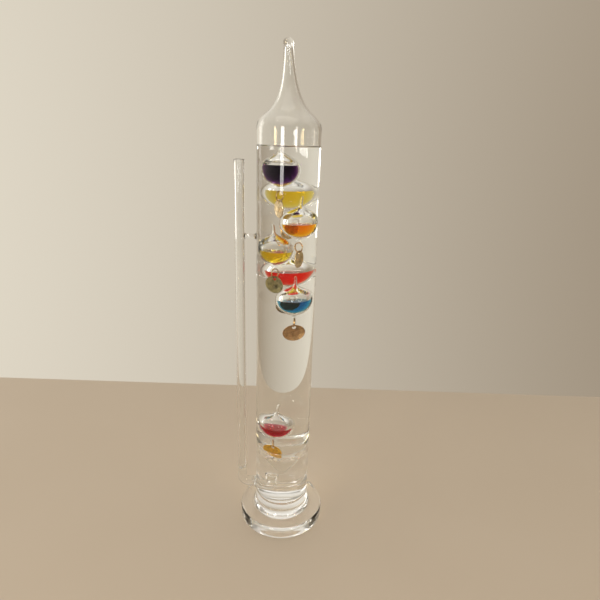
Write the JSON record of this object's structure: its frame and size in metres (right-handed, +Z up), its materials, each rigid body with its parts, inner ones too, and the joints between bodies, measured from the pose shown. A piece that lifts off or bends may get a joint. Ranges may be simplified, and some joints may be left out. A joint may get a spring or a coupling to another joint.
{
  "type": "galileo thermometer with barometer",
  "caption": "Sealed glass column of clear liquid with floating coloured glass vials and brass temperature tags, on a glass foot, with an open side tube as a water barometer.",
  "frame": {"origin": "centre of the foot disc's flat underside, on the column's axis", "axes": "+Z up along the column, -X towards the side tube, -Y towards the viewer"},
  "size_m": [0.0827, 0.0794, 0.4223],
  "materials": {
    "foot_glass": "clear polished glass",
    "column_glass": "clear blown glass",
    "tube_glass": "clear drawn glass",
    "vial_glass": "thin clear blown glass",
    "clear_oil": "clear light oil",
    "clear_water": "clear water",
    "purple_dye": "clear coloured liquid",
    "olive_dye": "clear coloured liquid",
    "orange_dye": "clear coloured liquid",
    "golden_dye": "clear coloured liquid",
    "red_dye": "clear coloured liquid",
    "teal_dye": "clear coloured liquid",
    "crimson_dye": "clear coloured liquid",
    "ring_wire": "dulled drawn wire",
    "tag_brass": "stamped, lightly toned"
  },
  "bodies": {
    "root": {"foot_disc": "foot_glass", "chamber_glass": "column_glass", "column_glass": "column_glass", "column_top": "column_glass", "funnel_partition": "column_glass", "barometer_tube": "tube_glass", "tube_tie": "tube_glass", "column_liquid": "clear_oil", "barometer_water": "clear_water"},
    "purple_vial": {"purple_vial_glass": "vial_glass", "purple_vial_dye": "purple_dye"},
    "purple_ring": {"purple_ring": "ring_wire"},
    "purple_tag": {"purple_tag": "tag_brass"},
    "olive_vial": {"olive_vial_glass": "vial_glass", "olive_vial_dye": "olive_dye"},
    "olive_ring": {"olive_ring": "ring_wire"},
    "olive_tag": {"olive_tag": "tag_brass"},
    "orange_vial": {"orange_vial_glass": "vial_glass", "orange_vial_dye": "orange_dye"},
    "orange_ring": {"orange_ring": "ring_wire"},
    "orange_tag": {"orange_tag": "tag_brass"},
    "golden_vial": {"golden_vial_glass": "vial_glass", "golden_vial_dye": "golden_dye"},
    "golden_ring": {"golden_ring": "ring_wire"},
    "golden_tag": {"golden_tag": "tag_brass"},
    "red_vial": {"red_vial_glass": "vial_glass", "red_vial_dye": "red_dye"},
    "red_ring": {"red_ring": "ring_wire"},
    "red_tag": {"red_tag": "tag_brass"},
    "teal_vial": {"teal_vial_glass": "vial_glass", "teal_vial_dye": "teal_dye"},
    "teal_ring": {"teal_ring": "ring_wire"},
    "teal_tag": {"teal_tag": "tag_brass"},
    "crimson_vial": {"crimson_vial_glass": "vial_glass", "crimson_vial_dye": "crimson_dye"},
    "crimson_ring": {"crimson_ring": "ring_wire"},
    "crimson_tag": {"crimson_tag": "tag_brass"}
  },
  "joints": [
    {"name": "purple_float", "type": "slide", "parent": "root", "child": "purple_vial", "axis": [0, 0, 1], "range_m": [-0.0005, 0.002], "stiffness_N_per_m": 0.12, "springref_m": 0.80899, "deforming": ["column_liquid"]},
    {"name": "purple_ring_swing", "type": "hinge", "parent": "purple_vial", "child": "purple_ring", "pos_m": [-0.0048, -0.0058, 0.31365], "axis": [-0.829, 0.5592, 0], "range_deg": [-1, 8]},
    {"name": "purple_tag_swing", "type": "hinge", "parent": "purple_ring", "child": "purple_tag", "pos_m": [-0.0048, -0.0058, 0.30703], "axis": [0.5592, 0.829, 0], "range_deg": [-2, 10]},
    {"name": "olive_float", "type": "slide", "parent": "root", "child": "olive_vial", "axis": [0, 0, 1], "range_m": [-0.001, 0.0005], "stiffness_N_per_m": 0.12, "springref_m": 0.77844},
    {"name": "olive_ring_swing", "type": "hinge", "parent": "olive_vial", "child": "olive_ring", "pos_m": [0.0002, 0.0105, 0.29465], "axis": [-0.0175, 0.9998, 0], "range_deg": [-2, 8]},
    {"name": "olive_tag_swing", "type": "hinge", "parent": "olive_ring", "child": "olive_tag", "pos_m": [0.0002, 0.0105, 0.28803], "axis": [0.9998, 0.0175, 0], "range_deg": [-8, 8]},
    {"name": "orange_float", "type": "slide", "parent": "root", "child": "orange_vial", "axis": [0, 0, 1], "range_m": [-0.0008, 0.0009], "stiffness_N_per_m": 0.12, "springref_m": 0.65483},
    {"name": "orange_ring_swing", "type": "hinge", "parent": "orange_vial", "child": "orange_ring", "pos_m": [0.0073, -0.0023, 0.27296], "axis": [0.7314, 0.682, 0], "range_deg": [-8, 2]},
    {"name": "orange_tag_swing", "type": "hinge", "parent": "orange_ring", "child": "orange_tag", "pos_m": [0.0073, -0.0023, 0.26633], "axis": [0.682, -0.7314, 0], "range_deg": [-8, 8]},
    {"name": "golden_float", "type": "slide", "parent": "root", "child": "golden_vial", "axis": [0, 0, 1], "range_m": [-0.0009, 0.0012], "stiffness_N_per_m": 0.12, "springref_m": 0.64359},
    {"name": "golden_ring_swing", "type": "hinge", "parent": "golden_vial", "child": "golden_ring", "pos_m": [-0.00697, -0.006, 0.25146], "axis": [-0.7771, 0.6293, 0], "range_deg": [-2, 8]},
    {"name": "golden_tag_swing", "type": "hinge", "parent": "golden_ring", "child": "golden_tag", "pos_m": [-0.00697, -0.006, 0.24484], "axis": [0.6293, 0.7771, 0], "range_deg": [-8, 8]},
    {"name": "red_float", "type": "slide", "parent": "root", "child": "red_vial", "axis": [0, 0, 1], "range_m": [-0.0009, 0.0008], "stiffness_N_per_m": 0.12, "springref_m": 0.71927},
    {"name": "red_ring_swing", "type": "hinge", "parent": "red_vial", "child": "red_ring", "pos_m": [0.0006, 0.0101, 0.22995], "axis": [0.1908, 0.9816, 0], "range_deg": [-8, 8]},
    {"name": "red_tag_swing", "type": "hinge", "parent": "red_ring", "child": "red_tag", "pos_m": [0.0006, 0.0101, 0.22333], "axis": [0.9816, -0.1908, 0], "range_deg": [-8, 8]},
    {"name": "teal_float", "type": "slide", "parent": "root", "child": "teal_vial", "axis": [0, 0, 1], "range_m": [-0.06, 0.0008], "stiffness_N_per_m": 0.12, "springref_m": 0.70007},
    {"name": "teal_ring_swing", "type": "hinge", "parent": "teal_vial", "child": "teal_ring", "pos_m": [0.00577, -0.0034, 0.20835], "axis": [0.9994, 0.0349, 0], "range_deg": [-8, 8]},
    {"name": "teal_tag_swing", "type": "hinge", "parent": "teal_ring", "child": "teal_tag", "pos_m": [0.00577, -0.0034, 0.20173], "axis": [0.0349, -0.9994, 0], "range_deg": [-8, 8]},
    {"name": "crimson_float", "type": "slide", "parent": "root", "child": "crimson_vial", "axis": [0, 0, 1], "range_m": [-0.001, 0.06], "stiffness_N_per_m": 0.12, "springref_m": 0.64523},
    {"name": "crimson_ring_swing", "type": "hinge", "parent": "crimson_vial", "child": "crimson_ring", "pos_m": [-0.00586, -0.0023, 0.08629], "axis": [-0.9945, 0.1045, 0], "range_deg": [-4, 4]},
    {"name": "crimson_tag_swing", "type": "hinge", "parent": "crimson_ring", "child": "crimson_tag", "pos_m": [-0.00586, -0.0023, 0.07967], "axis": [0.1045, 0.9945, 0], "range_deg": [-8, 3]}
  ]
}
